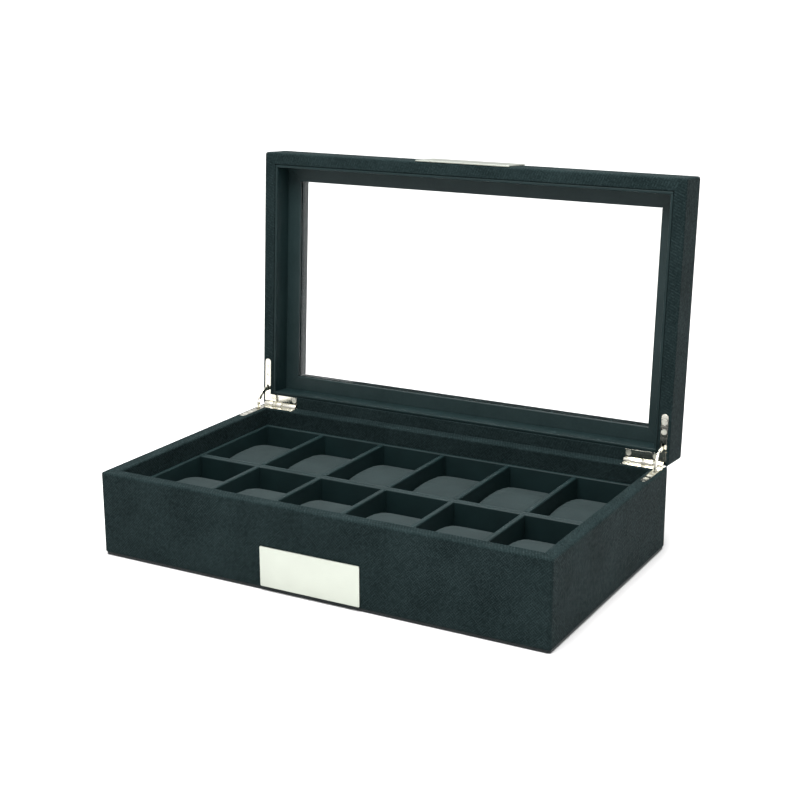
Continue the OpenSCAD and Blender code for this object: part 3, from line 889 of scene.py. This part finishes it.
def eased(node, material, ease):
    """Material on a CAD node, with its edges eased by live modifiers. Its own mesh isn't touched."""
    piece = frame["nodes"][node]
    piece.data.materials.clear()
    piece.data.materials.append(material)
    if ease:
        weld = piece.modifiers.new("weld", "WELD")
        weld.merge_threshold = WELD_DISTANCE
        flat = piece.modifiers.new("join_flat_faces", "DECIMATE")
        flat.decimate_type = "DISSOLVE"
        flat.angle_limit = FLAT_ANGLE
        bevel = piece.modifiers.new("ease", "BEVEL")
        bevel.width = ease
        bevel.segments = 2
        bevel.limit_method = "ANGLE"
        bevel.angle_limit = EDGE_ANGLE
        bevel.harden_normals = True


for name in ("base_leaf_left", "base_leaf_right", "lid_leaf_left", "lid_leaf_right"):
    eased(name, nickel, 0.18 * MM)
for name in ("stay_left", "stay_right", "hinge_pin_left", "hinge_pin_right"):
    eased(name, nickel, 0.1 * MM)
for name in ("base_hinge_screws", "lid_hinge_screws"):
    eased(name, screw_nickel, 0.05 * MM)
eased("glass_pane", glass, 0)
eased("base_pad", felt, 0.3 * MM)
eased("bottom_panel", board, 0)
eased("floor_lining", lining, 0)
print("bevelled CAD parts:", sum("ease" in node.modifiers for node in frame["nodes"].values()))


# %% [markdown]
# ## The cushions
# A watch cushion is a foam roll in a sewn cover: crowned from front to back, with two flatter ends where a
# panel is sewn in. It starts as a slightly small roll, whose section is a rounded oval standing on a flat
# foot. Air pressure on a cloth then fills it out, so the cover is taut over the crown and pulls in a little
# between the corners. The seams are pressed in afterwards, because remeshing would have erased them. Three
# cushions are blown up, and the twelve in the box are these three, turned about, as in one sewn batch.

# %% Start shape of a cushion
END_ROUND = 7 * MM
RINGS = 40
AROUND = 72
END_REACH = 0.97  # the last rings stop just short of a point
FOOT_LEVEL = 0.93


def roll_grid(width, depth, height, seed):
    """Oval sections along x. With t from -1 to 1 and e = (1 - |t|^7)^(1/3.2), each half size is less by
    END_ROUND (1 - e). The outline is cos a to the power 0.86 across and sin a to the power 0.80 up, cut off
    flat at the foot."""
    draw = np.random.default_rng(seed)
    t = np.sin(np.linspace(-math.pi / 2, math.pi / 2, RINGS) * END_REACH)[:, None]
    end = (1 - np.abs(t) ** 7) ** (1 / 3.2)
    a = np.linspace(0, 2 * math.pi, AROUND, endpoint=False)[None]
    cos, sin = np.cos(a), np.sin(a)
    bulge = 1 + 0.006 * draw.standard_normal() * np.cos(2 * a + draw.uniform(0, 6))
    y = np.sign(cos) * np.abs(cos) ** 0.86 * (depth / 2 - END_ROUND * (1 - end)) * bulge
    z = np.sign(sin) * np.abs(sin) ** 0.80 * (height / 2 - END_ROUND * (1 - end)) * bulge
    z = np.maximum(z, -height / 2 * FOOT_LEVEL)
    x = t * width / 2 * np.ones_like(a)
    return np.stack([x, y, z], -1)


# %% [markdown]
# ### Air in the cover
# A real cover is stuffed tight. Its roundness could be sculpted, or drawn as a formula alone, but cloth with
# air pressure finds it by itself. The mesh is first made even, because cloth behaves the same all over only
# on cells of one size. How far a point may move is capped, so the cushion still fits its compartment.

# %% Fill it out with cloth
VOXEL = 2.2 * MM
LAST_FRAME = 20
MOVE_CAP = 1.0 * MM


def evaluated_copy(piece):
    """A new mesh of the piece with its modifiers applied."""
    graph = bpy.context.evaluated_depsgraph_get()
    return bpy.data.meshes.new_from_object(piece.evaluated_get(graph))


def blow_up(piece):
    """Remeshes the start shape, runs cloth with pressure for 20 frames, and caps how far a point moves."""
    remesh = piece.modifiers.new("even_mesh", "REMESH")
    remesh.mode = "VOXEL"
    remesh.voxel_size = VOXEL
    piece.data = evaluated_copy(piece)
    piece.modifiers.clear()
    start = points_of(piece.data)
    cloth = piece.modifiers.new("cover", "CLOTH")
    cloth.settings.use_pressure = True
    cloth.settings.uniform_pressure_force = 4
    cloth.settings.effector_weights.gravity = 0
    cloth.settings.mass = 0.2
    cloth.settings.tension_stiffness = 25
    cloth.settings.compression_stiffness = 25
    cloth.settings.bending_stiffness = 2
    cloth.point_cache.frame_start = 1
    cloth.point_cache.frame_end = LAST_FRAME
    scene = bpy.context.scene
    for number in range(1, LAST_FRAME + 1):
        scene.frame_set(number)
    blown = points_of(evaluated_copy(piece))
    piece.modifiers.clear()
    scene.frame_set(1)
    move = blown - start
    size = np.linalg.norm(move, axis=1, keepdims=True)
    move *= np.minimum(1, MOVE_CAP / np.maximum(size, 1e-9))
    place_points(piece.data, start + move)
    print(piece.name, "moved up to", round(float(size.max()) / MM, 2), "mm before the cap")


# %% [markdown]
# ### Seams
# The crown of the cover is sewn to a panel at each end. A seam could be cut into the mesh as a groove of its
# own edges, but the remeshed cover has none there, so the points near it are drawn in by a formula. The
# thread gathers the cloth a little, and small puckers run out from it and fade.

# %% Press in the seams
SEAM_IN = 4.2 * MM
SEAM_DEPTH = 0.7 * MM
SEAM_WIDTH = 0.9 * MM
PUCKER_DEPTH = 0.25 * MM
PUCKER_RISE = 0.2 * MM
PUCKER_FADE = 5 * MM


def press_seams(points, width, seed):
    """Near each end panel the cover dips along a line, exp(-(distance / seam width)^2), and puckers beside
    it: the pucker is three sines of the angle round the roll, which fade away from the seam."""
    draw = np.random.default_rng(seed)
    x, y, z = points.T
    angle = np.arctan2(z, y)
    from_seam = np.abs(np.abs(x) - (width / 2 - SEAM_IN))
    dip = SEAM_DEPTH * np.exp(-((from_seam / SEAM_WIDTH) ** 2))
    phase = draw.uniform(0, 2 * math.pi, 3)
    wave = np.sin(17 * angle + phase[0])
    wave += 0.6 * np.sin(29 * angle + phase[1])
    wave += 0.4 * np.sin(7 * angle + phase[2])
    pucker = PUCKER_DEPTH * np.exp(-from_seam / PUCKER_FADE) * 0.5 * wave
    shrink = np.maximum(np.hypot(y, z), 1e-6)
    pull = (dip + np.maximum(pucker, -PUCKER_RISE)) / shrink
    return np.stack([x, y * (1 - pull), z * (1 - pull)], -1)


def smooth_once(mesh, factor, times):
    """Relaxes the remesher's steps away before the cloth sees them."""
    work = bmesh.new()
    work.from_mesh(mesh)
    for _ in range(times):
        bmesh.ops.smooth_vert(work, verts=work.verts, factor=factor, use_axis_x=True, use_axis_y=True,
                              use_axis_z=True)
    work.to_mesh(mesh)
    work.free()


# %% [markdown]
# ### Twelve out of three
# Twelve simulations would take four times as long as three and look much the same. Each cover is relaxed,
# divided once, sewn, and then set down in its compartment, some of them turned end for end.

# %% Three covers, twelve cushions
PATTERNS = 3
CUSHIONS = 12
SHRINK = 0.8 * MM
cushion_low, cushion_high = base_box("cushion_1")
cushion_size = cushion_high - cushion_low
covers = []
for seed in range(PATTERNS):
    small = cushion_size - 2 * SHRINK
    cover = grid_piece(f"cover_{seed}", roll_grid(*small, seed))
    blow_up(cover)
    smooth_once(cover.data, 0.5, 4)
    divide = cover.modifiers.new("divide", "SUBSURF")
    divide.levels = 1
    divide.render_levels = 1
    mesh = evaluated_copy(cover)
    cover.modifiers.clear()
    shaped = press_seams(points_of(mesh), cushion_size[0], seed)
    covers.append((mesh, shaped))
    bpy.data.objects.remove(cover)
    print("cover", seed, "is", [round(x / MM, 1) for x in np.ptp(shaped, axis=0)], "mm")

for i in range(1, CUSHIONS + 1):
    low, high = base_box(f"cushion_{i}")
    mesh, shaped = covers[(i * 2 + i // 4) % PATTERNS]
    flip = -1 if (i * 5) % 7 < 3 else 1
    size = np.ptp(shaped, axis=0)
    fit = np.minimum(1.0, (high - low) / size)
    placed = shaped * fit * [flip, flip, 1]
    placed += [(low[0] + high[0]) / 2, (low[1] + high[1]) / 2, low[2] - placed[:, 2].min()]
    own = mesh.copy()
    place_points(own, placed)
    cushion = bpy.data.objects.new(f"sewn_cushion_{i}", own)
    bpy.context.scene.collection.objects.link(cushion)
    own.shade_smooth()
    own.materials.clear()
    own.materials.append(cushion_cloth)
    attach(cushion, f"cushion_{i}")
    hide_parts(f"cushion_{i}")
print("cushions:", CUSHIONS, "with", len(own.polygons), "faces in the last one")


# %% [markdown]
# ## Floor, light and camera
# A white floor and even, soft light suit a dark object. Most of the light comes from above: a broad sun, and
# a sky that brightens with height, so what faces up reads paler than what faces the front. A small softbox
# over the open lid lightens the cushions and the hinges.

# %% Stage
FLOOR_SIZE = 1000.0
floor_mesh = bpy.data.meshes.new("floor")
edge = FLOOR_SIZE / 2
floor_corners = [(-edge, -edge, 0), (edge, -edge, 0), (edge, edge, 0), (-edge, edge, 0)]
floor_mesh.from_pydata(floor_corners, [], [(0, 1, 2, 3)])
floor = bpy.data.objects.new("floor", floor_mesh)
bpy.context.scene.collection.objects.link(floor)
floor.location.z = -0.2 * MM
paper, paper_shader = new_finish("white_paper", Roughness=0.9, Specular_IOR_Level=0.1)
paper_shader.inputs["Base Color"].default_value = (0.75, 0.75, 0.75, 1)
floor_mesh.materials.append(paper)

world = bpy.data.worlds.new("studio")
world.use_nodes = True
SKY_LOW = 0.35
SKY_HIGH = 1.20
SKY_FULL_AT = 0.8  # height on the sky's unit sphere from which it is at its brightest
backdrop = world.node_tree.nodes["Background"]
backdrop.inputs["Color"].default_value = (1, 1, 1, 1)
direction = add(world, "TexCoord").outputs["Generated"]
height_of = add(world, "SeparateXYZ")
link(world, direction, height_of.inputs[0])
brightness = spread(world, height_of.outputs["Z"], 0.0, SKY_FULL_AT, SKY_LOW, SKY_HIGH)
link(world, brightness, backdrop.inputs["Strength"])
bpy.context.scene.world = world
bpy.context.scene.view_settings.view_transform = "Standard"

# %% Lamps
SUN_TILT = math.radians(-6)
SOFTBOX_AT = (0.05, -0.2, 0.75)
SOFTBOX_AIM = Vector((0, 0.1, 0.25))

sun = bpy.data.lights.new("overhead", "SUN")
sun.energy = 2.9
sun.angle = math.radians(45)
overhead = bpy.data.objects.new("overhead", sun)
bpy.context.scene.collection.objects.link(overhead)
overhead.rotation_euler = (SUN_TILT, SUN_TILT, 0)

key = bpy.data.lights.new("front_softbox", "AREA")
key.shape = "SQUARE"
key.size = 0.4
key.energy = 6.5
softbox = bpy.data.objects.new("front_softbox", key)
bpy.context.scene.collection.objects.link(softbox)
softbox.location = SOFTBOX_AT
softbox.rotation_euler = (SOFTBOX_AIM - softbox.location).to_track_quat("-Z", "Y").to_euler()
print("lamps: sun", round(sun.energy, 1), "and softbox", round(key.energy, 1), "W")

# %% [markdown]
# ## The camera
# The camera stands in front of the box, a little to its right, and looks down into it. It is given by its
# place and three angles. Its three axes are worked out from these, and they make up its matrix.


# %% Camera
CAMERA_AT = (0.4948, -0.8663, 0.3895)
CAMERA_YAW = math.radians(29.149)
CAMERA_PITCH = math.radians(-15.62)
CAMERA_ROLL = math.radians(-0.112)
camera_data = bpy.data.cameras.new("camera")
camera_data.sensor_width = 36
camera_data.lens = 67.95
camera_data.clip_start = 0.01
camera = bpy.data.objects.new("camera", camera_data)
bpy.context.scene.collection.objects.link(camera)
level_share = math.cos(CAMERA_PITCH)
forward_x = -math.sin(CAMERA_YAW) * level_share
forward_y = math.cos(CAMERA_YAW) * level_share
forward = Vector((forward_x, forward_y, math.sin(CAMERA_PITCH)))
level = Vector((math.cos(CAMERA_YAW), math.sin(CAMERA_YAW), 0))
upright = level.cross(forward)
right = level * math.cos(CAMERA_ROLL) + upright * math.sin(CAMERA_ROLL)
up = upright * math.cos(CAMERA_ROLL) - level * math.sin(CAMERA_ROLL)
camera.matrix_world = Matrix.Translation(CAMERA_AT) @ Matrix((right, up, -forward)).transposed().to_4x4()
bpy.context.scene.camera = camera
print("camera distance from the origin in m:", round(camera.matrix_world.translation.length, 2))
